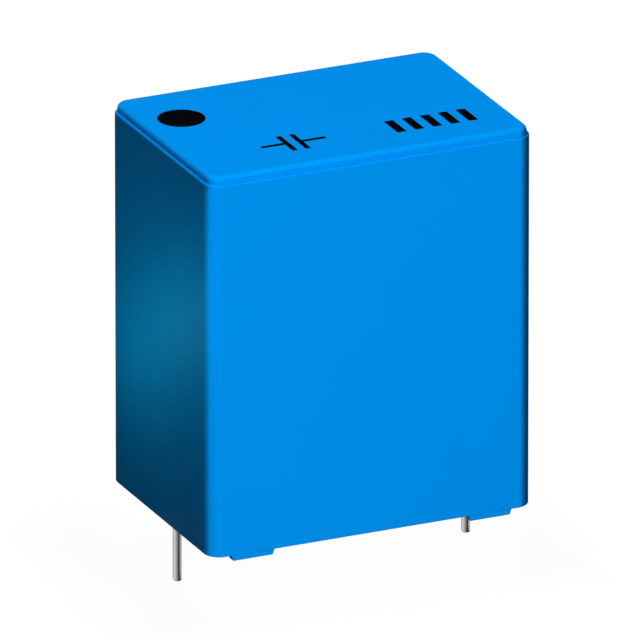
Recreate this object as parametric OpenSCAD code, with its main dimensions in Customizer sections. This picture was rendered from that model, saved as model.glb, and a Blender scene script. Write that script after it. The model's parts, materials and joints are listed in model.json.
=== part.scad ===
// Box film capacitor for a circuit board: a moulded case, open at the bottom and
// filled with resin, round a flattened film winding that hangs on two stiff leads.
//
// Origin: midway between the leads, on the plane of the feet (the board's surface).
// X runs from lead to lead, Y across the case, Z up. All sizes are in millimetres.

/* [Leads] */
// Distance between the two leads, axis to axis
lead_pitch = 27.5; // [22.5:2.5:37.5]
// Diameter of the lead wire
lead_dia = 0.8; // [0.6:0.1:1.2]
// How far the leads reach below the feet
lead_reach = 5.45; // [3:0.05:25]
// Chamfer on the cut end of a lead
lead_tip = 0.08; // [0.02:0.01:0.2]
// Inside radius of the two bends that step a lead in to the winding's end
bend_inside = 0.4; // [0.2:0.05:0.8]
// How far a lead runs up the winding's end face
weld_run = 20; // [8:0.5:24]

/* [Case] */
// Width of the case
case_wide = 21.3; // [14:0.1:30]
// Height of the case, from its open rim to its top
case_high = 35.1; // [28:0.1:45]
// Thickness of the case's side walls
wall = 1; // [0.8:0.05:1.4]
// Thickness of the case's roof
roof = 1; // [0.8:0.05:2]
// Radius of the case's upright corners
corner_radius = 1.5; // [1.2:0.1:3]
// Height of the lid field above the ledge that runs round it
lid_high = 0.78; // [0.5:0.01:1]
// How far the lid field is set in from the walls
lid_inset = 0.22; // [0.1:0.01:0.4]
// Radius of the lid field's edge
lid_round = 0.45; // [0.2:0.01:0.5]
// Radius of the walls' outer edges, at the ledge and at the rim
edge_round = 0.13; // [0.05:0.01:0.3]
// Resin between a lead and the end wall beside it
lead_cover = 0.21; // [0.1:0.01:1]

/* [Feet] */
// Height of the feet below the rim
foot_high = 0.55; // [0.3:0.05:1]
// Length of a foot where it leaves the rim
foot_long = 4.1; // [2:0.1:5]
// Distance from the case's end to a foot
foot_from_end = 2.05; // [1.8:0.05:3]
// How much each end of a foot slopes in towards its sole
foot_slope = 0.2; // [0.05:0.05:0.5]
// Radius of a foot's outer bottom edge
foot_round = 0.15; // [0.05:0.01:0.25]

/* [Winding] */
// Thickness of the metal sprayed on each end of the winding
spray_thick = 0.7; // [0.4:0.05:1]
// Thickness of the plain film wrapped round the winding
wrap_thick = 0.25; // [0.1:0.05:0.5]
// Resin between the wrapped winding and each long wall
side_gap = 0.75; // [0.4:0.05:1.5]
// Resin between the wrapped winding and the roof
roof_gap = 0.8; // [0.4:0.05:2]
// Resin below the wrapped winding
bottom_gap = 2.9; // [2.4:0.1:4]
// Depth of the resin's surface inside the rim
resin_recess = 0.3; // [0.1:0.05:0.6]

/* [Hidden] */
$fn = 64;

// Room that a cut runs past the face that it opens
spare = 1;

// Heights
rim_z = foot_high;
top_z = rim_z + case_high;
ledge_z = top_z - lid_high;
ceiling_z = top_z - roof;
resin_z = rim_z + resin_recess;

// Plan of the case: the leads and their cover set its length
case_long = lead_pitch + lead_dia + 2 * (lead_cover + wall);
cavity_long = case_long - 2 * wall;
cavity_wide = case_wide - 2 * wall;
cavity_radius = corner_radius - wall / 2;

// The wrapped winding hangs in the cavity, and its ends face the leads
wrapped_thick = cavity_wide - 2 * side_gap;
wrapped_bottom = resin_z + bottom_gap;
wrapped_high = ceiling_z - roof_gap - wrapped_bottom;
winding_z = wrapped_bottom + wrapped_high / 2;
bend_radius = bend_inside + lead_dia / 2;
run_x = lead_pitch / 2 - 2 * bend_radius;
run_z = rim_z + 2 * bend_radius;
run_top = wrapped_bottom + weld_run;
winding_long = 2 * (run_x - spray_thick);

case_blue = [0.05, 0.5, 0.85];
resin_grey = [0.2, 0.21, 0.22];
film_silver = [0.78, 0.79, 0.78];
wrap_amber = [0.85, 0.75, 0.45];
spray_grey = [0.6, 0.6, 0.58];
wire_tin = [0.75, 0.76, 0.77];

// ---- Outlines -------------------------------------------------------------

// A rectangle with round corners
module rounded_plan(long, wide, radius) {
    square([long - 2 * radius, wide], center = true);
    square([long, wide - 2 * radius], center = true);
    for (x = [-1, 1], y = [-1, 1])
        translate([x * (long / 2 - radius), y * (wide / 2 - radius)])
            circle(radius);
}

// A block from the axis out to reach, up to height, with its outer top edge rounded
module rounded_step(reach, height, radius) {
    square([reach, height - radius]);
    square([reach - radius, height]);
    translate([reach - radius, height - radius])
        intersection() {
            circle(radius);
            square(radius);
        }
}

// Section of the case's edge, from a corner's axis out: the wall with its rounded rim and
// ledge, and the lid field above
module edge_section() {
    middle = (ledge_z - rim_z) / 2;
    for (flip = [0, 1])
        translate([0, middle]) mirror([0, flip])
            rounded_step(corner_radius, middle, edge_round);
    translate([0, middle])
        rounded_step(corner_radius - lid_inset, top_z - rim_z - middle, lid_round);
}

// Cross-section of the flattened winding: two straight sides and round ends
module flattened_roll(thick, high) {
    square([high - thick, thick], center = true);
    for (end = [-1, 1])
        translate([end * (high - thick) / 2, 0])
            circle(thick / 2);
}

// ---- Case -----------------------------------------------------------------

// The edge section carried along one straight side
module side_block(length) {
    rotate([90, 0, 0])
        linear_extrude(length, center = true)
            edge_section();
}

// The case's outer form: the edge section taken round the plan, and the middle filled
module outer_form() {
    x = case_long / 2 - corner_radius;
    y = case_wide / 2 - corner_radius;
    translate([0, 0, rim_z]) {
        translate([-x, -y, 0])
            cube([2 * x, 2 * y, case_high]);
        for (side = [0, 180]) rotate(side) {
            translate([x, 0, 0])
                side_block(2 * y);
            rotate(90) translate([y, 0, 0])
                side_block(2 * x);
            translate([x, y, 0])
                rotate_extrude(angle = 90)
                    edge_section();
            translate([-x, y, 0]) rotate(90)
                rotate_extrude(angle = 90)
                    edge_section();
        }
    }
}

// The space that the winding and the resin fill, open at the rim
module cavity(from_z) {
    translate([0, 0, from_z])
        linear_extrude(ceiling_z - from_z)
            rounded_plan(cavity_long, cavity_wide, cavity_radius);
}

// One foot, under the wall that faces -Y, near the +X end
module foot() {
    x_out = case_long / 2 - foot_from_end;
    x_in = x_out - foot_long;
    face = case_wide / 2 - edge_round;
    inner = case_wide / 2 - wall;
    intersection() {
        // seen from the front: both ends slope in
        rotate([90, 0, 0])
            linear_extrude(case_wide / 2)
                polygon([
                    [x_in, rim_z], [x_in + foot_slope, 0],
                    [x_out - foot_slope, 0], [x_out, rim_z]
                ]);
        // seen from the end: the outer bottom edge is rounded
        rotate([90, 0, -90])
            translate([inner, rim_z, -case_long / 2])
                mirror([0, 1, 0])
                    linear_extrude(case_long)
                        rounded_step(face - inner, rim_z, foot_round);
    }
}

module case() {
    color(case_blue)
        difference() {
            union() {
                outer_form();
                for (x = [0, 1], y = [0, 1])
                    mirror([x, 0, 0]) mirror([0, y, 0])
                        foot();
            }
            cavity(-spare);
        }
}

// ---- Winding --------------------------------------------------------------

// A slab with the winding's cross-section, standing across X
module roll_slab(x_from, x_to, thick, high) {
    translate([x_from, 0, winding_z])
        rotate([0, 90, 0])
            linear_extrude(x_to - x_from)
                flattened_roll(thick, high);
}

// The wound film alone: the wrap lies outside it
module bare_roll(x_from, x_to) {
    roll_slab(x_from, x_to, wrapped_thick - 2 * wrap_thick, wrapped_high - 2 * wrap_thick);
}

module film_winding() {
    color(film_silver)
        bare_roll(-winding_long / 2, winding_long / 2);
}

module cover_film() {
    color(wrap_amber)
        difference() {
            roll_slab(-winding_long / 2, winding_long / 2, wrapped_thick, wrapped_high);
            bare_roll(-winding_long / 2 - spare, winding_long / 2 + spare);
        }
}

// The sprayed metal on the +X end, with the groove that the lead is welded into
module end_spray() {
    difference() {
        bare_roll(winding_long / 2, run_x);
        lead();
    }
}

module end_spray_right() {
    color(spray_grey)
        end_spray();
}

module end_spray_left() {
    color(spray_grey)
        mirror([1, 0, 0])
            end_spray();
}

// ---- Leads ----------------------------------------------------------------

// A quarter bend of the wire, from upright at its start to level, towards -X
module wire_bend() {
    translate([-bend_radius, 0, 0])
        rotate([90, 0, 0])
            rotate_extrude(angle = 90)
                translate([bend_radius, 0])
                    circle(lead_dia / 2);
}

// The +X lead: straight to the rim, stepped in by two bends, then straight up the end
module lead() {
    translate([lead_pitch / 2, 0, -lead_reach]) {
        cylinder(h = lead_tip, d1 = lead_dia - 2 * lead_tip, d2 = lead_dia);
        translate([0, 0, lead_tip])
            cylinder(h = lead_reach + rim_z - lead_tip, d = lead_dia);
    }
    translate([lead_pitch / 2, 0, rim_z])
        wire_bend();
    translate([run_x, 0, run_z]) {
        rotate([0, 180, 0])
            wire_bend();
        cylinder(h = run_top - run_z, d = lead_dia);
    }
}

module lead_right() {
    color(wire_tin)
        lead();
}

module lead_left() {
    color(wire_tin)
        mirror([1, 0, 0])
            lead();
}

// ---- Potting --------------------------------------------------------------

// The resin fills the cavity round everything in it
module potting_resin() {
    color(resin_grey)
        difference() {
            cavity(resin_z);
            roll_slab(-winding_long / 2, winding_long / 2, wrapped_thick, wrapped_high);
            bare_roll(-run_x, run_x);
            lead();
            mirror([1, 0, 0])
                lead();
        }
}

case();
potting_resin();
film_winding();
cover_film();
end_spray_left();
end_spray_right();
lead_left();
lead_right();
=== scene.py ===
# %% [markdown]
# # A box film capacitor, piece by piece
#
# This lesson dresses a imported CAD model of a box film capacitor. The real part is a small
# moulded plastic case, open at the bottom. A flat roll of metallised film hangs inside it
# in cast resin, and two stiff tinned wires carry it on a circuit board.
#
# The CAD model has every size. So the lesson starts by loading it, and each piece takes its
# place from the CAD pieces' own boxes.

# %% Load the frame
import json
from math import cos, degrees, exp, hypot, pi, radians, sin

import bmesh
import bpy
from mathutils import Matrix, Vector


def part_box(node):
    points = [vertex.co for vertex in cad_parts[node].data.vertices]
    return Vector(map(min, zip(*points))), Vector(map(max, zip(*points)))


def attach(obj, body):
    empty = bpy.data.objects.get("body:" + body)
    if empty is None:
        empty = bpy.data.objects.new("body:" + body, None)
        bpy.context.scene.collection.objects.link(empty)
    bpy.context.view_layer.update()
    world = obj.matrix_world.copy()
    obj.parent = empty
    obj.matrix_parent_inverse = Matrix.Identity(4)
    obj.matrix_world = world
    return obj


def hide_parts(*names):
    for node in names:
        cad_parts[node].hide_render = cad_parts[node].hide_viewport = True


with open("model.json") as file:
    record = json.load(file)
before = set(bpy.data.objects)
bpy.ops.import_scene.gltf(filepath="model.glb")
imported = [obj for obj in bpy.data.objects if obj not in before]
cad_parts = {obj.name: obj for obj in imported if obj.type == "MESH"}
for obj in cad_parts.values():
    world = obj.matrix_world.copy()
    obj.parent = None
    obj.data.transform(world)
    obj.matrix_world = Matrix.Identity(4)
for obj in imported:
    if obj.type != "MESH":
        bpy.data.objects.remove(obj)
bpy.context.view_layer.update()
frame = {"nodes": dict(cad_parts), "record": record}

print("CAD pieces:", ", ".join(sorted(frame["nodes"])))

# %% [markdown]
# ## Sizes
#
# Blender works in metres, and such a part is drawn in millimetres. One name for the
# millimetre keeps the numbers readable.
#
# The boxes of the case, the resin and a lead give the main sizes. The small features, such
# as the ledge round the lid, are inside those boxes. They are named here with the sizes that
# the CAD source gives them.

# %% Read the main sizes, and name the small ones
mm = 0.001

case_lo, case_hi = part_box("case")
resin_lo, resin_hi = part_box("potting_resin")
lead_lo, lead_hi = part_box("lead_right")

foot_high = 0.55 * mm
foot_long = 4.1 * mm
foot_from_end = 2.05 * mm
foot_slope = 0.2 * mm
foot_round = 0.15 * mm
corner_radius = 1.5 * mm
cavity_radius = 1.0 * mm
lid_high = 0.78 * mm
lid_inset = 0.22 * mm
lid_round = 0.45 * mm
edge_round = 0.13 * mm
ink_thick = 0.012 * mm

rim_z = case_lo.z + foot_high
ledge_z = case_hi.z - lid_high
lid_z = case_hi.z - ink_thick
lead_radius = lead_hi.y
lead_x = lead_hi.x - lead_radius

case_size = (case_hi - case_lo) / mm
print(f"case {case_size.x:.2f} x {case_size.y:.2f} x {case_size.z:.2f} mm")
print(f"leads {2 * lead_x / mm:.2f} mm apart, {2 * lead_radius / mm:.2f} mm thick")

# %% [markdown]
# ## Small helpers for mesh work
#
# A real box is never sharp: the mould's edges are rounded, so each edge needs a bevel. Its
# settings are always the same apart from the radius and the number of steps, so one helper
# holds them.
#
# A block with round upright corners is the start of both the case and its cavity. Each edge
# of it is reached from both its ends, so a small helper lists the parts of a mesh once each.
#
# The last one turns a finished bmesh into an object. Large flat faces next to narrow rounded
# ones shade badly with plain smooth normals. So it marks the truly sharp edges and adds
# Weighted Normal, which lets the large faces decide.

# %% Helpers: unique, round_edges, rounded_block, finish_piece
sharp_angle = radians(50)
face_weight = 100
print(f"edges over {degrees(sharp_angle):.0f} degrees stay sharp")


def unique(parts):
    """The parts of a mesh in their first order, each once."""
    return list(dict.fromkeys(parts))


def round_edges(mesh, edges, radius, steps):
    """Rounds the edges with an arc of that radius."""
    return bmesh.ops.bevel(
        mesh, geom=list(edges), offset=radius, offset_type="OFFSET", segments=steps,
        profile=0.5, affect="EDGES", material=-1, clamp_overlap=False,
    )


def rounded_block(mesh, low, high, radius, steps):
    """Adds a box between two corners, its four upright edges rounded, and returns its faces."""
    middle, size = (low + high) / 2, high - low
    place = Matrix.Translation(middle) @ Matrix.Diagonal((*size, 1))
    before = set(mesh.faces)
    corners = bmesh.ops.create_cube(mesh, size=1, matrix=place)["verts"]
    edges = unique(edge for corner in corners for edge in corner.link_edges)
    rises = [abs(edge.verts[0].co.z - edge.verts[1].co.z) for edge in edges]
    upright = [edge for edge, rise in zip(edges, rises) if rise > size.z / 2]
    round_edges(mesh, upright, radius, steps)
    return [face for face in mesh.faces if face not in before]


def finish_piece(mesh, name, stands_for):
    """Makes the object, which rides on the part's one body and may stand for CAD pieces."""
    data = bpy.data.meshes.new(name)
    mesh.to_mesh(data)
    mesh.free()
    data.shade_smooth()
    data.set_sharp_from_angle(angle=sharp_angle)
    piece = bpy.data.objects.new(name, data)
    bpy.context.scene.collection.objects.link(piece)
    even = piece.modifiers.new("even_shading", "WEIGHTED_NORMAL")
    even.keep_sharp = True
    even.weight = face_weight
    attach(piece, "root")
    if stands_for:
        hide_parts(*stands_for)
    print(f"{name}: {len(data.polygons)} faces")
    return piece


# %% [markdown]
# ## The case's outside
#
# The case is injection moulded in one shot. Its lid is a raised field with a well rounded
# edge, and a narrow ledge runs round it, level with the top of the walls.
#
# It could be turned from a profile or cut by booleans. Here it is pushed up from a block,
# as the toolmaker thinks of it. Each step works on the present top face: round its edge,
# step in for the ledge, raise the lid field, and round that.

# %% Raise the case from a block
corner_steps = 16
edge_steps = 4
lid_steps = 8


def top_face(faces):
    """The highest of the faces."""
    return max(faces, key=lambda face: face.calc_center_median().z)


def low_face(faces):
    """The lowest of the faces."""
    return min(faces, key=lambda face: face.calc_center_median().z)


shell = bmesh.new()
wall_top = Vector((case_hi.x, case_hi.y, ledge_z))
wall_foot = Vector((case_lo.x, case_lo.y, rim_z))
rounded_block(shell, wall_foot, wall_top, corner_radius, corner_steps)
round_edges(shell, top_face(shell.faces).edges, edge_round, edge_steps)
round_edges(shell, low_face(shell.faces).edges, edge_round, edge_steps)

field = top_face(shell.faces)
ledge_wide = lid_inset - edge_round
bmesh.ops.inset_region(shell, faces=[field], thickness=ledge_wide, use_even_offset=True)
raised = bmesh.ops.extrude_discrete_faces(shell, faces=[field])["faces"][0]
bmesh.ops.translate(shell, verts=raised.verts, vec=(0, 0, lid_z - ledge_z))
round_edges(shell, raised.edges, lid_round, lid_steps)
lid_centre = top_face(shell.faces).calc_center_median()
print(f"outer form: {len(shell.faces)} faces, top at {lid_centre.z / mm:.3f} mm")

# %% [markdown]
# ## The cavity and the rim
#
# The case is a shell with walls one millimetre thick. Most of the cavity is hidden by the
# resin, but its mouth shows from below.
#
# The Solidify modifier could make the wall, but it would follow the lid's step too. A
# second block of the cavity's own size is cleaner. Both blocks lose their bottom face, and
# a bridge between the two open loops makes the flat rim.

# %% Open the cavity and bridge the rim
mouth = low_face(shell.faces)
outer_loop = list(mouth.edges)
bmesh.ops.delete(shell, geom=[mouth], context="FACES_ONLY")

cavity_low = Vector((resin_lo.x, resin_lo.y, rim_z))
inside = rounded_block(shell, cavity_low, resin_hi, cavity_radius, corner_steps)
bmesh.ops.reverse_faces(shell, faces=inside)
opening = low_face(inside)
inner_loop = list(opening.edges)
bmesh.ops.delete(shell, geom=[opening], context="FACES_ONLY")
rim = bmesh.ops.bridge_loops(shell, edges=outer_loop + inner_loop)["faces"]
print(f"rim: {len(rim)} faces, walls {(case_hi.x - resin_hi.x) / mm:.2f} mm thick")

# %% [markdown]
# ## The four feet
#
# Small feet under the long walls hold the rim off the board, so that hot air and washing
# water get out. They are part of the moulding, and their ends slope in so that they leave
# the mould easily.
#
# Each foot grows from the rim's own face. Four cuts across the rim mark its length, then
# the marked face is pushed down and drawn in a little at both ends.

# %% Grow the feet from the rim
foot_far = case_hi.x - foot_from_end
foot_near = foot_far - foot_long
foot_edge_round = 0.04 * mm
foot_edge_steps = 2
near_enough = 0.01 * mm

for x in (-foot_far, -foot_near, foot_near, foot_far):
    everything = shell.verts[:] + shell.edges[:] + shell.faces[:]
    bmesh.ops.bisect_plane(shell, geom=everything, plane_co=(x, 0, 0), plane_no=(1, 0, 0))


def under_foot(face):
    """True for the parts of the rim that a foot grows from."""
    centre = face.calc_center_median()
    return (
        face.normal.z < -0.99
        and abs(centre.z - rim_z) < near_enough
        and foot_near < abs(centre.x) < foot_far
    )


shell.normal_update()
marked = [face for face in shell.faces if under_foot(face)]
soles = bmesh.ops.extrude_discrete_faces(shell, faces=marked)["faces"]
draw_in = 1 - 2 * foot_slope / foot_long
for sole in soles:
    from_centre = Matrix.Translation(-sole.calc_center_median())
    bmesh.ops.translate(shell, verts=sole.verts, vec=(0, 0, -foot_high))
    bmesh.ops.scale(shell, verts=sole.verts, vec=(draw_in, 1, 1), space=from_centre)


def below_rim(edge):
    """True for the edges of the feet, without those where they meet the rim."""
    return sum(corner.co.z for corner in edge.verts) / 2 < rim_z - near_enough


def outer_sole(edge):
    """True for the long edge of a sole that faces outwards."""
    out = min(abs(corner.co.y) for corner in edge.verts)
    return below_rim(edge) and out > case_hi.y - 2 * edge_round


outer = [edge for edge in shell.edges if outer_sole(edge)]
long_edges = [edge for edge in outer if edge.calc_length() > foot_long / 2]
round_edges(shell, long_edges, foot_round, edge_steps)
low_edges = [edge for edge in shell.edges if below_rim(edge)]
crisp = [edge for edge in low_edges if edge.calc_face_angle(0) > sharp_angle]
round_edges(shell, crisp, foot_edge_round, foot_edge_steps)
bmesh.ops.recalc_face_normals(shell, faces=shell.faces[:])
open_edges = sum(not edge.is_manifold for edge in shell.edges)
print(f"feet: {len(soles)}, edges that are not closed: {open_edges}")

case_shell = finish_piece(shell, "case_shell", ["case"])

# %% [markdown]
# ## The cast resin
#
# The case stands on its lid while the resin is poured. The resin wets the walls and the
# wires and creeps up them a little before it sets, so its surface is dished. Only this
# surface shows, from below.
#
# The resin's other faces wrap round the winding and are right already. So this piece starts
# as a copy of the CAD piece, with its loose triangles merged. Cuts in both directions give
# the flat surface enough points, close together where it curves. Each point then moves
# towards the rim by an amount that fades with its distance from the nearest wall and wire.

# %% Dish the resin's surface
resin = bmesh.new()
resin.from_mesh(frame["nodes"]["potting_resin"].data)
merge_reach = 1e-7
bmesh.ops.remove_doubles(resin, verts=resin.verts[:], dist=merge_reach)

flat_within = 0.001 * mm
fine_step = 0.13 * mm
wide_step = 1.5 * mm
from_wall = [step * mm for step in (0.06, 0.14, 0.25, 0.4, 0.6, 0.9, 1.4)]
near_wire = [k * fine_step for k in range(-8, 9)]
cuts_x = [side * (resin_hi.x - step) for side in (-1, 1) for step in from_wall]
cuts_x += [side * (lead_x + away) for side in (-1, 1) for away in near_wire]
cuts_x += [k * wide_step for k in range(-8, 9)]
cuts_y = [side * (resin_hi.y - step) for side in (-1, 1) for step in from_wall]
cuts_y += near_wire + [k * wide_step for k in range(-5, 6)]


def on_surface(part):
    """True for the vertices and faces of the flat surface that shows."""
    corners = [part] if isinstance(part, bmesh.types.BMVert) else part.verts
    return all(abs(corner.co.z - resin_lo.z) < flat_within for corner in corners)


def cut_surface(place, direction):
    """Cuts the surface alone, along one plane."""
    faces = [face for face in resin.faces if on_surface(face)]
    edges = unique(edge for face in faces for edge in face.edges)
    corners = unique(corner for face in faces for corner in face.verts)
    bmesh.ops.bisect_plane(
        resin, geom=[*corners, *edges, *faces], dist=merge_reach,
        plane_co=place, plane_no=direction,
    )


for x in sorted(cuts_x):
    if abs(x) < resin_hi.x:
        cut_surface((x, 0, 0), (1, 0, 0))
for y in sorted(cuts_y):
    cut_surface((0, y, 0), (0, 1, 0))


def wall_distance(x, y):
    """Distance from a point to the cavity's wall, with its round corners."""
    in_x = abs(x) - (resin_hi.x - cavity_radius)
    in_y = abs(y) - (resin_hi.y - cavity_radius)
    past = hypot(max(in_x, 0), max(in_y, 0)) + min(max(in_x, in_y), 0)
    return max(cavity_radius - past, 0)


def wire_distance(x, y):
    """Distance from a point to the nearer wire."""
    return max(hypot(abs(x) - lead_x, y) - lead_radius, 0)


wall_creep = 0.11 * mm
wire_creep = 0.13 * mm
creep_reach = 0.28 * mm
for corner in resin.verts:
    if on_surface(corner):
        x, y, _ = corner.co
        creep = wall_creep * exp(-wall_distance(x, y) / creep_reach)
        creep += wire_creep * exp(-wire_distance(x, y) / creep_reach)
        corner.co.z = resin_lo.z - creep

bmesh.ops.triangulate(resin, faces=[face for face in resin.faces if len(face.verts) > 4])
creep_low = min(corner.co.z for corner in resin.verts)
print(f"resin surface {resin_lo.z / mm:.2f} mm, lowest point {creep_low / mm:.2f} mm")
resin_fill = finish_piece(resin, "resin_fill", ["potting_resin"])

# %% [markdown]
# ## The leads
#
# Each lead is drawn copper wire with a tin coat. It comes straight up from the board, steps
# in by two bends and runs up the sprayed end of the winding, where it is welded.
#
# A curve with a bevel would be quick, but its ends stay plain. Here one ring of edges walks
# along the wire: extruded for a straight run, and spun round the bend's centre for a bend.
# The cut end has its rim broken by the cutter, so it gets a small bevel.

# %% Walk a ring along each lead
wire_sides = 48
bend_steps = 12
bend_inside = 0.4 * mm
bend_radius = bend_inside + lead_radius
cut_break = 0.08 * mm


def straight_run(mesh, ring, rise):
    """Extrudes the ring straight up, and returns the new ring."""
    grown = bmesh.ops.extrude_edge_only(mesh, edges=ring)["geom"]
    corners = [part for part in grown if isinstance(part, bmesh.types.BMVert)]
    bmesh.ops.translate(mesh, verts=corners, vec=(0, 0, rise))
    return [part for part in grown if isinstance(part, bmesh.types.BMEdge)]


def bend(mesh, ring, centre, turn):
    """Spins the ring a quarter turn round centre, and returns the new ring."""
    corners = unique(corner for edge in ring for corner in edge.verts)
    last = bmesh.ops.spin(
        mesh, geom=[*ring, *corners], cent=centre, axis=(0, turn, 0), dvec=(0, 0, 0),
        angle=pi / 2, steps=bend_steps, use_merge=False, use_duplicate=False,
    )["geom_last"]
    return [part for part in last if isinstance(part, bmesh.types.BMEdge)]


def lead_wire(side):
    """A lead on the side that the sign gives."""
    mesh = bmesh.new()
    start = Matrix.Translation((side * lead_x, 0, lead_lo.z))
    first = bmesh.ops.create_circle(mesh, segments=wire_sides, radius=lead_radius, matrix=start)
    ring = unique(edge for corner in first["verts"] for edge in corner.link_edges)
    cut_end = bmesh.ops.edgeloop_fill(mesh, edges=ring)["faces"][0]
    ring = straight_run(mesh, ring, rim_z - lead_lo.z)
    bend_x = side * (lead_x - bend_radius)
    ring = bend(mesh, ring, (bend_x, 0, rim_z), -side)
    ring = bend(mesh, ring, (bend_x, 0, rim_z + 2 * bend_radius), side)
    ring = straight_run(mesh, ring, lead_hi.z - rim_z - 2 * bend_radius)
    bmesh.ops.edgeloop_fill(mesh, edges=ring)
    round_edges(mesh, cut_end.edges, cut_break, edge_steps)
    bmesh.ops.recalc_face_normals(mesh, faces=mesh.faces[:])
    return mesh


lead_sides = ((-1, "left"), (1, "right"))
lead_wires = []
for side, word in lead_sides:
    wire = finish_piece(lead_wire(side), f"wire_{word}", [f"lead_{word}"])
    lead_wires.append(wire)

# %% [markdown]
# ## The marks on the lid
#
# Such a case carries a few black marks, pad printed on its lid. This part is a plain one,
# so the marks are plain too: a dot, the circuit symbol of any capacitor, and a row of bars.
#
# They could be painted in the case's material. As thin pieces of ink they keep a crisp edge
# at every size, and they have the faint raised edge of real ink. The lid was made lower by
# the ink's thickness, so the print stays inside the CAD box. Each mark is closed below too,
# as a solid has to be.

# %% Print the marks
print_mesh = bmesh.new()
round_sides = 64
bar_corner = 0.08 * mm


def thicken(corners):
    """Gives the flat patch between the corners the thickness of ink, and closes it below."""
    patch = corners[0].link_faces[0]
    outline = list(patch.edges)
    top = bmesh.ops.extrude_discrete_faces(print_mesh, faces=[patch])["faces"][0]
    bmesh.ops.translate(print_mesh, verts=top.verts, vec=(0, 0, ink_thick))
    bmesh.ops.edgeloop_fill(print_mesh, edges=outline)


def dot(x, y, radius):
    """A round patch."""
    place = Matrix.Translation((x, y, lid_z))
    made = bmesh.ops.create_circle(
        print_mesh, cap_ends=True, cap_tris=False, segments=round_sides, radius=radius,
        matrix=place,
    )
    thicken(made["verts"])


def bar(x, y, wide, long):
    """A straight patch with its corners slightly rounded."""
    place = Matrix.Translation((x, y, lid_z)) @ Matrix.Diagonal((wide, long, 1, 1))
    made = bmesh.ops.create_grid(print_mesh, x_segments=1, y_segments=1, size=0.5, matrix=place)
    softened = bmesh.ops.bevel(
        print_mesh, geom=made["verts"], offset=bar_corner, offset_type="OFFSET",
        segments=edge_steps, profile=0.5, affect="VERTICES", material=-1, clamp_overlap=False,
    )
    thicken(softened["verts"])


dot(x=-11.5 * mm, y=4.0 * mm, radius=2.1 * mm)

symbol_x = -5.1 * mm
symbol_y = -5.3 * mm
plate_from_middle = 0.62 * mm
stem_from_middle = 1.95 * mm
for side in (-1, 1):
    bar(symbol_x + side * plate_from_middle, symbol_y, wide=0.5 * mm, long=3.6 * mm)
    bar(symbol_x + side * stem_from_middle, symbol_y, wide=2.2 * mm, long=0.45 * mm)

row_x = 4.5 * mm
row_y = -5.4 * mm
row_step = 1.7 * mm
for k in range(5):
    bar(row_x + k * row_step, row_y, wide=0.85 * mm, long=2.9 * mm)

bmesh.ops.recalc_face_normals(print_mesh, faces=print_mesh.faces[:])
open_edges = sum(not edge.is_manifold for edge in print_mesh.edges)
print(f"print: edges that are not closed: {open_edges}")
lid_print = finish_piece(print_mesh, "lid_print", [])

# %% [markdown]
# ## A short way to write materials
#
# A material is a graph of nodes, and sums in it are Math nodes. Written out one by one, a
# simple formula fills a page. So a small class stands for one output in the graph, and its
# operators add the Math nodes.
#
# A second class holds a graph. Its node method makes every other node: first the settings,
# then the values or links of the sockets. A third one adds what only a material needs: a
# pattern's place on the part, noise, a blend of two colours, a bump and the closing shader.

# %% Helpers: Wire, Graph, Finish, slot_colour
mix_first, mix_second, mix_result = 6, 7, 2


class Wire:
    """One output of a node, which can be used in a sum."""

    def __init__(self, graph, socket):
        self.graph = graph
        self.socket = socket

    def maths(self, operation, *values):
        """A Math node on the values, which are wires or numbers."""
        return self.graph.node("ShaderNodeMath", {"operation": operation}, dict(enumerate(values)))

    def __add__(self, other):
        return self.maths("ADD", self, other)

    __radd__ = __add__

    def __sub__(self, other):
        return self.maths("SUBTRACT", self, other)

    def __rsub__(self, other):
        return self.maths("SUBTRACT", other, self)

    def __mul__(self, other):
        return self.maths("MULTIPLY", self, other)

    __rmul__ = __mul__


class Graph:
    """A graph of nodes, and the way its nodes are made."""

    def __init__(self, tree):
        self.tree = tree
        self.tree.nodes.clear()

    def node(self, kind, settings=None, sockets=None, out=0):
        """Adds a node of that kind, and returns its output as a wire."""
        made = self.tree.nodes.new(kind)
        for name, value in (settings or {}).items():
            if name == "stops":
                self.set_stops(made.color_ramp, value)
            else:
                setattr(made, name, value)
        for name, value in (sockets or {}).items():
            if isinstance(value, Wire):
                self.tree.links.new(value.socket, made.inputs[name])
            else:
                made.inputs[name].default_value = value
        return Wire(self, made.outputs[out])

    @staticmethod
    def set_stops(ramp, stops):
        """Gives a colour ramp its stops."""
        while len(ramp.elements) < len(stops):
            ramp.elements.new(1.0)
        for element, (position, colour) in zip(ramp.elements, stops):
            element.position = position
            element.color = (*colour, 1)

    def spread(self, wire, low, high):
        """Where wire goes from low to high, 0 to 1, with soft ends."""
        settings = {"interpolation_type": "SMOOTHSTEP"}
        sockets = {"Value": wire, "From Min": low, "From Max": high}
        return self.node("ShaderNodeMapRange", settings, sockets)

    def seen_as_white(self, mirrored):
        """1 for the camera and through something clear, and mirrored for reflected rays."""
        camera_ray = self.node("ShaderNodeLightPath", out="Is Camera Ray")
        clear_ray = self.node("ShaderNodeLightPath", out="Is Transmission Ray")
        glossy_ray = self.node("ShaderNodeLightPath", out="Is Glossy Ray")
        plain = camera_ray.maths("MAXIMUM", camera_ray, clear_ray)
        return plain.maths("MAXIMUM", plain, glossy_ray * mirrored)

    def end(self, shader, kind="ShaderNodeOutputMaterial"):
        """Sends a shader to the output, which ends the graph."""
        out = self.tree.nodes.new(kind)
        self.tree.links.new(shader.socket, out.inputs["Surface"])


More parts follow.
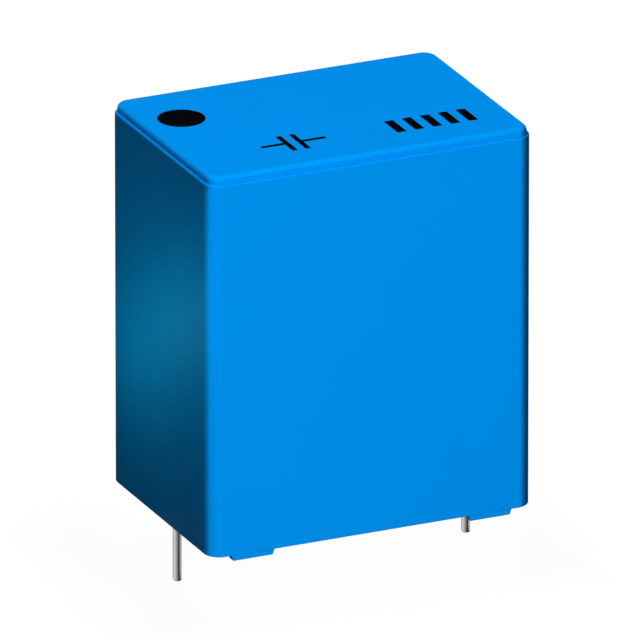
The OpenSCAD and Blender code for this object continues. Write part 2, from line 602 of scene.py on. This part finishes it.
class Finish(Graph):
    """A material, whose patterns lie in the part's own space."""

    def __init__(self, name):
        self.material = bpy.data.materials.new(name)
        self.material.use_nodes = True
        super().__init__(self.material.node_tree)
        self.place = self.node("ShaderNodeTexCoord", out="Object")

    def noise(self, size, stretch=(1, 1, 1), detail=2, rough=0.5):
        """Noise with features of that size in metres, longer along an axis by its stretch."""
        scale = [1 / s for s in stretch]
        place = self.node("ShaderNodeMapping", None, {"Vector": self.place, "Scale": scale})
        sockets = {"Vector": place, "Scale": 1 / size, "Detail": detail, "Roughness": rough}
        return self.node("ShaderNodeTexNoise", None, sockets, out="Fac")

    def blend(self, amount, first, second):
        """A colour from first to second, on the sockets that the Mix node has for colours."""
        sockets = {"Factor": amount, mix_first: (*first, 1), mix_second: (*second, 1)}
        return self.node("ShaderNodeMix", {"data_type": "RGBA"}, sockets, out=mix_result)

    def bump(self, height, depth, strength=1.0):
        """A normal from a height of 0 to 1 that stands for that depth in metres."""
        sockets = {"Height": height, "Distance": depth, "Strength": strength}
        return self.node("ShaderNodeBump", None, sockets)

    def shade(self, **sockets):
        """Ends the material with its Principled shader."""
        named = {name.replace("_", " "): value for name, value in sockets.items()}
        shader = self.node("ShaderNodeBsdfPrincipled", None, named)
        self.end(shader)
        print(f"{self.material.name}: {len(self.tree.nodes)} nodes")
        return self.material


def slot_colour(slot):
    """The colour that the CAD record gives a material slot."""
    for row in frame["record"]["materials"]:
        if row["slot"] == slot:
            return tuple(row["base_color"])
    raise KeyError(slot)


# %% [markdown]
# ## The case's plastic
#
# The case is filled polyester, coloured through in a clear blue, with a satin face. The
# satin comes from the mould, whose steel is spark eroded to a grain of about a tenth of a
# millimetre. The pigment isn't perfectly even, and the walls have faint upright streaks
# where the case slides out of the mould.
#
# An image of plastic would show its own scale and seams. Noise at the sizes of those three
# effects has neither, and each one stays weak, because the real face looks plain at arm's
# length.

# %% Mix the blue plastic
plastic = Finish("case_plastic")
blue = slot_colour("case_plastic")
grain = plastic.noise(0.11 * mm, detail=3, rough=0.6)
cloud = plastic.noise(6 * mm, detail=2)
streak = plastic.noise(0.35 * mm, stretch=(1, 1, 40), detail=2)
uneven = plastic.spread(cloud, 0.3, 0.7) * 0.5 + grain * 0.3 + streak * 0.2
pigment_spread = 0.015
light_blue = tuple(min(level * (1 + pigment_spread), 1) for level in blue)
deep_blue = tuple(level * (1 - pigment_spread) for level in blue)
blue_mix = plastic.blend(uneven, deep_blue, light_blue)
satin = 0.4 + grain * 0.1 + streak * 0.06
height = grain * 0.8 + streak * 0.2
case_finish = plastic.shade(
    Base_Color=blue_mix, Roughness=satin, Normal=plastic.bump(height, 0.006 * mm, 0.5),
    Specular_IOR_Level=0.02,
)

# %% [markdown]
# ## The ink
#
# Pad printing leaves a film of ink a hundredth of a millimetre thick. It is a flat black,
# a little thinner in places, with a few pinholes where the grain shows through.

# %% Mix the black ink
black = Finish("marking_ink")
speck = black.noise(0.09 * mm, detail=2)
wash = black.noise(1.2 * mm)
thin = black.spread(speck, 0.7, 0.8) * 0.5 + black.spread(wash, 0.4, 0.8) * 0.15
ink_finish = black.shade(
    Base_Color=black.blend(thin, (0.001, 0.001, 0.0015), (0.004, 0.008, 0.014)),
    Roughness=0.5 + speck * 0.15, Normal=black.bump(speck, 0.004 * mm, 0.4),
    Specular_IOR_Level=0.05,
)

# %% [markdown]
# ## The resin
#
# The resin is a dark filled epoxy. Its cast face is smooth and a little glossy, with slow
# waves from the pour, fine filler specks and some pinholes where bubbles broke.

# %% Mix the dark resin
epoxy = Finish("potting_resin")
dark = slot_colour("potting_resin")
flow = epoxy.noise(3.5 * mm, detail=1)
filler = epoxy.noise(0.06 * mm, detail=2)
bubble_place = {"Vector": epoxy.place, "Scale": 1 / (1.3 * mm)}
bubble = epoxy.node("ShaderNodeTexVoronoi", {"feature": "F1"}, bubble_place, out="Distance")
pit = 1 - epoxy.spread(bubble, 0.03, 0.09)
resin_mix = epoxy.blend(
    epoxy.spread(filler, 0.62, 0.75) * 0.5 + flow * 0.3, dark, (0.075, 0.08, 0.088)
)
resin_height = flow * 0.5 + filler * 0.02 - pit * 0.35
resin_finish = epoxy.shade(
    Base_Color=resin_mix, Roughness=0.27 + filler * 0.16 + pit * 0.3,
    Normal=epoxy.bump(resin_height, 0.06 * mm, 0.6), Specular_IOR_Level=0.4,
)

# %% [markdown]
# ## The tinned wire
#
# The wire is drawn through a die and dipped in tin. The die leaves fine lines along it, and
# the tin is bright but not a mirror, with duller patches where it cooled first.

# %% Mix the tin
tin = Finish("tinned_wire")
silver = slot_colour("tinned_wire")
line = tin.noise(0.05 * mm, stretch=(1, 1, 60), detail=2, rough=0.6)
patch = tin.noise(0.8 * mm, stretch=(1, 1, 3), detail=2)
dull = tin.spread(patch, 0.35, 0.75)
tin_finish = tin.shade(
    Base_Color=tin.blend(dull * 0.6 + line * 0.3, (0.6, 0.65, 0.69), silver),
    Metallic=1.0, Roughness=0.2 + dull * 0.14 + line * 0.08,
    Normal=tin.bump(line, 0.004 * mm, 0.35),
)

# %% [markdown]
# ## The pieces inside
#
# The winding, its wrap and the sprayed ends are hidden by the case and the resin. They keep
# their CAD shapes, but each gets its own finish, for whoever opens the part.
#
# - The winding's turns are thousands of film layers: fine lines along the roll, which bend
#   round its two ends.
# - The wrap is clear amber film, with soft ripples.
# - The sprayed zinc is rough and grey, built up from droplets.

# %% Finish the winding, its wrap and the sprayed ends
wound = Finish("metallised_film")
layer = wound.noise(0.04 * mm, stretch=(200, 1, 1), detail=2)
ripple = wound.noise(2.5 * mm, stretch=(4, 1, 1))
film_metal = slot_colour("metallised_film")
wound_finish = wound.shade(
    Base_Color=wound.blend(layer * 0.5 + ripple * 0.3, film_metal, (0.35, 0.36, 0.37)),
    Metallic=0.7, Roughness=0.25 + layer * 0.15,
    Normal=wound.bump(layer * 0.4 + ripple * 0.6, 0.02 * mm, 0.5),
)

wrap = Finish("plain_film")
wave = wrap.noise(3 * mm, stretch=(3, 1, 1))
dust = wrap.noise(0.2 * mm, detail=3)
amber = slot_colour("plain_film")
wrap_finish = wrap.shade(
    Base_Color=wrap.blend(wave * 0.7 + dust * 0.2, amber, (0.42, 0.31, 0.1)),
    Roughness=0.18 + dust * 0.12, Normal=wrap.bump(wave, 0.05 * mm, 0.5), Coat_Weight=0.3,
)

zinc = Finish("sprayed_metal")
drop_place = {"Vector": zinc.place, "Scale": 1 / (0.16 * mm)}
drop = zinc.node("ShaderNodeTexVoronoi", {"feature": "SMOOTH_F1"}, drop_place, out="Distance")
crust = zinc.noise(0.5 * mm, detail=4, rough=0.65)
zinc_grey = slot_colour("sprayed_metal")
zinc_finish = zinc.shade(
    Base_Color=zinc.blend(crust * 0.6 + drop * 0.4, zinc_grey, (0.16, 0.16, 0.155)),
    Metallic=0.8, Roughness=0.5 + crust * 0.25,
    Normal=zinc.bump(drop * 0.6 + crust * 0.4, 0.05 * mm, 0.8),
)

# %% [markdown]
# ## Each finish on its piece
#
# A piece and its finish are made apart, so this is where they meet. The pieces inside are
# the CAD pieces themselves. Only their material changes, because nothing may move them.

# %% Put each finish on its piece
inner = frame["nodes"]
dressing = [
    (case_shell, case_finish),
    (lid_print, ink_finish),
    (resin_fill, resin_finish),
    (lead_wires[0], tin_finish),
    (lead_wires[1], tin_finish),
    (inner["film_winding"], wound_finish),
    (inner["cover_film"], wrap_finish),
    (inner["end_spray_left"], zinc_finish),
    (inner["end_spray_right"], zinc_finish),
]
for piece, finish in dressing:
    piece.data.materials.clear()
    piece.data.materials.append(finish)
print(f"{len(dressing)} pieces have their finish")

# %% [markdown]
# ## Cards for the stage
#
# The part needs something to stand on, and soft light that falls as in a studio. Most of
# that is made of flat cards. Cycles can hide a card from some kinds of ray, which no real
# studio can do: a card may cast a shadow, and still nobody sees the card.
#
# One helper makes an object of the stage from any mesh. The other holds a flat card.

# %% Helpers: stage_piece, hold_card
ray_kinds = ("camera", "diffuse", "glossy", "transmission", "shadow")
print("kinds of ray:", ", ".join(ray_kinds))


def stage_piece(mesh, name, finish, seen_by):
    """Makes an object of the stage, which isn't part of the capacitor."""
    data = bpy.data.meshes.new(name)
    mesh.to_mesh(data)
    mesh.free()
    if finish:
        data.materials.append(finish)
    card = bpy.data.objects.new(name, data)
    bpy.context.scene.collection.objects.link(card)
    for kind in ray_kinds:
        setattr(card, f"visible_{kind}", kind in seen_by)
    print(f"{name}: seen by {', '.join(seen_by)}")


def hold_card(name, middle, facing, wide, high, finish, seen_by):
    """A flat card of the stage, with the kinds of ray that can see it."""
    mesh = bmesh.new()
    turned = facing.to_track_quat("Z", "Y").to_matrix().to_4x4()
    place = Matrix.Translation(middle) @ turned @ Matrix.Diagonal((wide, high, 1, 1))
    bmesh.ops.create_grid(mesh, x_segments=1, y_segments=1, size=0.5, matrix=place)
    stage_piece(mesh, name, finish, seen_by)


# %% [markdown]
# ## The floor
#
# The part stands on the tips of its leads, on a white floor. Brighter lamps could make the
# floor white, but they would burn out the blue too. So the floor glows, and only for the
# camera and for rays that come through something clear. For all other light it is nearly
# black.
#
# Mirror-like rays see it white far away and dark near the part, as if black card lay round
# it. Without that, the flat walls would look milky. The floor also has a matt face that
# takes light and so holds the part's soft shadow. Seen from below, it is clear.

# %% Lay the floor
fill_level = 0.035
floor_level = 0.96
floor_wide = 12
up = Vector((0, 0, 1))

ground = Finish("floor")
reach = {"operation": "LENGTH"}
from_middle = ground.node("ShaderNodeVectorMath", reach, {0: ground.place}, out="Value")
white = ground.seen_as_white(ground.spread(from_middle, 200 * mm, 400 * mm))
far_off = ground.spread(from_middle, 40 * mm, 110 * mm)
own_light = white * (floor_level + far_off * (1 - floor_level)) + (1 - white) * fill_level
glow = ground.node("ShaderNodeEmission", None, {"Color": (1, 1, 1, 1), "Strength": own_light})
face_colour = ground.blend(white, (0.02, 0.02, 0.02), (0.07, 0.07, 0.07))
face = ground.node("ShaderNodeBsdfDiffuse", None, {"Color": face_colour})
lit = ground.node("ShaderNodeAddShader", None, {0: glow, 1: face})
clear = ground.node("ShaderNodeBsdfTransparent")
from_below = ground.node("ShaderNodeNewGeometry", out="Backfacing")
ground.end(ground.node("ShaderNodeMixShader", None, {0: from_below, 1: lit, 2: clear}))

floor_middle = Vector((0, 0, lead_lo.z))
floor_rays = ("camera", "diffuse", "glossy", "transmission")
hold_card("floor", floor_middle, up, floor_wide, floor_wide, ground.material, floor_rays)

# %% [markdown]
# ## The room
#
# The air glows in the same way as the floor, so no edge shows between them. Here the
# mirror-like rays see white right above the part alone, like a ceiling panel.

# %% Fill the room with air
room = bpy.data.worlds.new("room")
bpy.context.scene.world = room
room.use_nodes = True
air = Graph(room.node_tree)
sky_place = air.node("ShaderNodeTexCoord", out="Generated")
sky_high = air.node("ShaderNodeSeparateXYZ", None, {"Vector": sky_place}, out="Z")
sky_white = air.seen_as_white(air.spread(sky_high, 0.85, 0.97))
sky_light = sky_white + (1 - sky_white) * fill_level
sky = air.node("ShaderNodeBackground", None, {"Color": (1, 1, 1, 1), "Strength": sky_light})
air.end(sky, "ShaderNodeOutputWorld")
print(f"room: {len(room.node_tree.nodes)} nodes")

# %% [markdown]
# ## A way to hang lamps
#
# Lamps are easier to place by direction than by position: so far round the part, so far up,
# and so far away. A lamp's energy is a poor guide to brightness. So the last helper works it
# out from the share of full light that a face should get, from the distance and from the
# slope between the face and the lamp.

# %% Helpers: towards, hang_lamp, power_for
case_middle = (case_lo + case_hi) / 2
print(f"lamps point at the case's middle, {case_middle.z / mm:.2f} mm up")


def towards(azimuth, elevation):
    """The direction from the part to something at that azimuth and elevation, in degrees."""
    a, e = radians(azimuth), radians(elevation)
    return Vector((sin(a) * cos(e), -cos(a) * cos(e), sin(e)))


def hang_lamp(name, kind, direction, distance, **settings):
    """A lamp that shines at the middle of the case, from that direction."""
    data = bpy.data.lights.new(name, kind)
    for key, value in settings.items():
        setattr(data, key, value)
    lamp = bpy.data.objects.new(name, data)
    bpy.context.scene.collection.objects.link(lamp)
    lamp.location = case_middle + direction * distance
    lamp.rotation_mode = "QUATERNION"
    lamp.rotation_quaternion = direction.to_track_quat("Z", "Y")
    lamp.visible_camera = False
    lamp.visible_glossy = False
    print(f"{name}: {data.energy:.4g}")
    return lamp


def power_for(share, distance, slope):
    """Power of an area lamp that gives a face its share of full light."""
    return share * pi ** 2 * distance ** 2 / slope


# %% [markdown]
# ## The key lamp and the panel
#
# The front and the lid get soft, plain light, and a colour on them comes out about as it is
# written. The key lamp shines from the front, a little from the left. A small panel hangs
# over the part, a little to the left and behind. Their directions are nearly square to each
# other, so a rounded edge between front and lid is only a little brighter than both.

# %% Hang the key lamp and the panel
to_front = Vector((0, -1, 0))
to_left = Vector((-1, 0, 0))

to_key = towards(-16.6, 12)
key_share = 0.87
key_away = 320 * mm
key_wide = 114 * mm
key_power = power_for(key_share, key_away, to_key.dot(to_front))
hang_lamp("key", "AREA", to_key, key_away, shape="SQUARE", size=key_wide, energy=key_power)

to_panel = Vector((-0.17, 0.15, 1)).normalized()
panel_share = 0.78
panel_away = 500 * mm
panel_wide = 147 * mm
panel_power = power_for(panel_share, panel_away, to_panel.z)
hang_lamp("panel", "AREA", to_panel, panel_away, shape="SQUARE", size=panel_wide,
          energy=panel_power)

# %% [markdown]
# ## Flags for the dark side
#
# The left side lies in deep shade, and the shade begins at the rounded corner. The lamps
# can't do this alone, because they are soft. A studio holds black cards, called flags,
# between the lamp and the object. The further a flag is from the surface, the softer its
# shadow's edge.
#
# - Two flags trim the key lamp at the upright corners of the front.
# - One lies level with the ledge and keeps the panel's light off the left side.
# - One stands on the ledge's edge and keeps the light from the left off the lid's edge.

# %% Hold the flags
shade_only = ("shadow",)
flag_below_leads = 10 * mm


def stand_flag(name, from_x, to_x, gap, top):
    """An upright flag in front of the front face, between two places across."""
    high = top - lead_lo.z + flag_below_leads
    middle = Vector(((from_x + to_x) / 2, case_lo.y - gap, top - high / 2))
    hold_card(name, middle, to_front, abs(to_x - from_x), high, None, shade_only)


left_trim_x = case_lo.x - 0.36 * mm
right_trim_x = case_hi.x - 1.56 * mm
stand_flag("flag_left", left_trim_x, case_lo.x - 14 * mm, gap=0.5 * mm, top=ledge_z)
stand_flag("flag_right", right_trim_x, case_hi.x + 5 * mm, gap=1.5 * mm, top=case_hi.z + 20 * mm)

lid_flag_gap = 0.14 * mm
lid_flag_long = 2 * case_hi.y + 1 * mm
lid_flag_middle = Vector((case_lo.x - lid_flag_gap, 0, (ledge_z + case_hi.z) / 2))
hold_card("flag_lid", lid_flag_middle, to_left, lid_flag_long, lid_high, None, shade_only)

ledge_flag_gap = 0.01 * mm
ledge_flag_front = 0.5 * mm
ledge_flag_wide = 14 * mm
ledge_flag_deep = 36 * mm
ledge_flag_middle = Vector((
    case_lo.x - ledge_flag_gap - ledge_flag_wide / 2,
    case_lo.y - ledge_flag_front + ledge_flag_deep / 2,
    ledge_z - edge_round,
))
hold_card("flag_ledge", ledge_flag_middle, up, ledge_flag_wide, ledge_flag_deep, None, shade_only)

# %% [markdown]
# ## Light on the dark side
#
# A weak round lamp from the left keeps the dark side from going black. A narrow strip lamp
# close to that side draws the soft slanting band. Both are a little yellow, which turns the
# blue to teal. The strip lies along the side and is turned about the axis that the side
# faces along.

# %% Hang the fill and the strip on the left
to_fill = towards(-90, 10)
fill_share = 0.115
fill_away = 60 * mm
fill_wide = 20 * mm
fill_power = power_for(fill_share, fill_away - case_hi.x, 1)
hang_lamp("side_fill", "AREA", to_fill, fill_away, shape="DISK", size=fill_wide,
          color=(1.0, 1.0, 0.91), energy=fill_power)

strip_long = 24.6 * mm
strip_wide = 2.8 * mm
strip_gap = 8.3 * mm
strip_y = -0.8 * mm
strip_z = 18.7 * mm
strip_slant = radians(-33.8)
strip_power = 6.1e-4
strip = hang_lamp("strip", "AREA", to_left, case_hi.x, shape="RECTANGLE",
                  size=strip_long, size_y=strip_wide, color=(1.0, 0.9, 0.55), energy=strip_power)
strip.location = (case_lo.x - strip_gap, strip_y, strip_z)
along_side = Matrix(((0, 0, -1), (1, 0, 0), (0, -1, 0)))
strip.rotation_quaternion = (Matrix.Rotation(strip_slant, 3, "X") @ along_side).to_quaternion()

# %% [markdown]
# ## Light for the other sides
#
# Whoever walks round the part needs light there too. A sun lamp lights everything from one
# direction alone, so it can be kept off the front by its direction. One lights the back and
# the right side. One comes from below, also from behind, for the resin and the feet: from
# straight below it would wash out the dark line over the feet. A faint one from the right
# keeps the right corner from going black.

# %% Hang the suns
sun_away = 300 * mm


def hang_sun(name, azimuth, elevation, share, soft):
    """A sun that gives a face square to it its share of full light, soft by some degrees."""
    hang_lamp(name, "SUN", towards(azimuth, elevation), sun_away,
              energy=share * pi, angle=radians(soft))


hang_sun("right_fill", 85, 0, share=0.085, soft=12)
hang_sun("behind", 140, 0, share=0.62, soft=12)
hang_sun("below", 140, -40, share=0.6, soft=6)

# %% [markdown]
# ## A cup round each lead
#
# Bright metal has hardly a colour of its own: it shows what stands round it. In a plain
# white room a wire looks like a strip of paper. So a small glowing cup stands round each
# lead, for mirror-like rays alone. It glows white, with soft grey and black stripes, and
# its reflection gives the wire its light and dark lines.

# %% Stand a striped cup round each lead
cup_radius = 3 * mm
cup_high = 5.7 * mm
cup_above_floor = 0.01 * mm
cup_sides = 64
cup_stripes = [
    (-180, 0.75), (-158, 0.35), (-135, 0.62), (-96, 1.0), (-68, 0.75), (-42, 0.5), (-17, 0.3),
    (5, 0.02), (30, 0.02), (48, 0.45), (67, 0.7), (113, 0.75), (150, 0.9), (180, 0.75),
]


def cup_finish(name, x):
    """Glowing stripes of light and dark round an upright axis at x, by azimuth."""
    cup = Finish(name)
    centring = {"Vector": cup.place, "Location": (-x, 0, 0)}
    centred = cup.node("ShaderNodeMapping", None, centring)
    across = cup.node("ShaderNodeSeparateXYZ", None, {"Vector": centred}, out="X")
    inwards = cup.node("ShaderNodeSeparateXYZ", None, {"Vector": centred}, out="Y")
    turn = across.maths("ARCTAN2", across, 0 - inwards)
    stops = [((azimuth + 180) / 360, (level,) * 3) for azimuth, level in cup_stripes]
    position = turn * (1 / (2 * pi)) + 0.5
    stripe = cup.node("ShaderNodeValToRGB", {"stops": stops}, {"Fac": position}, out="Color")
    # The cup glows with its stripes, which are seen only in reflections: the light and dark lines
    # on the wire are this glow reflected.
    cup_glow = cup.node("ShaderNodeEmission", None, {"Color": stripe, "Strength": 1.0})
    open_air = cup.node("ShaderNodeBsdfTransparent")
    outside = cup.node("ShaderNodeNewGeometry", out="Backfacing")
    cup.end(cup.node("ShaderNodeMixShader", None, {0: outside, 1: cup_glow, 2: open_air}))
    return cup.material


for side, word in lead_sides:
    cup_mesh = bmesh.new()
    cup_middle = (side * lead_x, 0, lead_lo.z + cup_high / 2 + cup_above_floor)
    bmesh.ops.create_cone(
        cup_mesh, cap_ends=True, segments=cup_sides, radius1=cup_radius, radius2=cup_radius,
        depth=cup_high, matrix=Matrix.Translation(cup_middle),
    )
    bmesh.ops.delete(cup_mesh, geom=[top_face(cup_mesh.faces)], context="FACES_ONLY")
    bmesh.ops.reverse_faces(cup_mesh, faces=cup_mesh.faces[:])
    stage_piece(cup_mesh, f"cup_{word}", cup_finish(f"cup_{word}", side * lead_x), ("glossy",))

# %% [markdown]
# ## The camera
#
# Catalogues show such parts with almost no perspective: the box's edges run nearly
# parallel. A very long lens far away gives that. The camera looks down on the front and the
# left side, and aims a little below the case's middle, so that the leads are in view.

# %% Set the camera
view_azimuth = -24.38
view_elevation = 21.32
view_wide = 55.41 * mm
aim_left = 0.154 * mm
aim_down = 1.474 * mm
lens_mm = 1500
sensor_mm = 36

back = towards(view_azimuth, view_elevation)
camera_data = bpy.data.cameras.new("camera")
camera_data.lens = lens_mm
camera_data.sensor_width = sensor_mm
camera_data.clip_start = 0.5
camera_data.clip_end = 10
camera = bpy.data.objects.new("camera", camera_data)
bpy.context.scene.collection.objects.link(camera)
camera.rotation_mode = "QUATERNION"
camera.rotation_quaternion = (-back).to_track_quat("-Z", "Y")
view_right = camera.rotation_quaternion @ Vector((1, 0, 0))
view_up = camera.rotation_quaternion @ Vector((0, 1, 0))
case_heart = Vector((0, 0, (rim_z + case_hi.z) / 2))
aim = case_heart - view_right * aim_left - view_up * aim_down
camera.location = aim + back * (view_wide * lens_mm / sensor_mm)
bpy.context.scene.camera = camera
bpy.context.scene.view_settings.view_transform = "Standard"
print(f"camera {camera.location.length:.2f} m away, {view_elevation} degrees up")
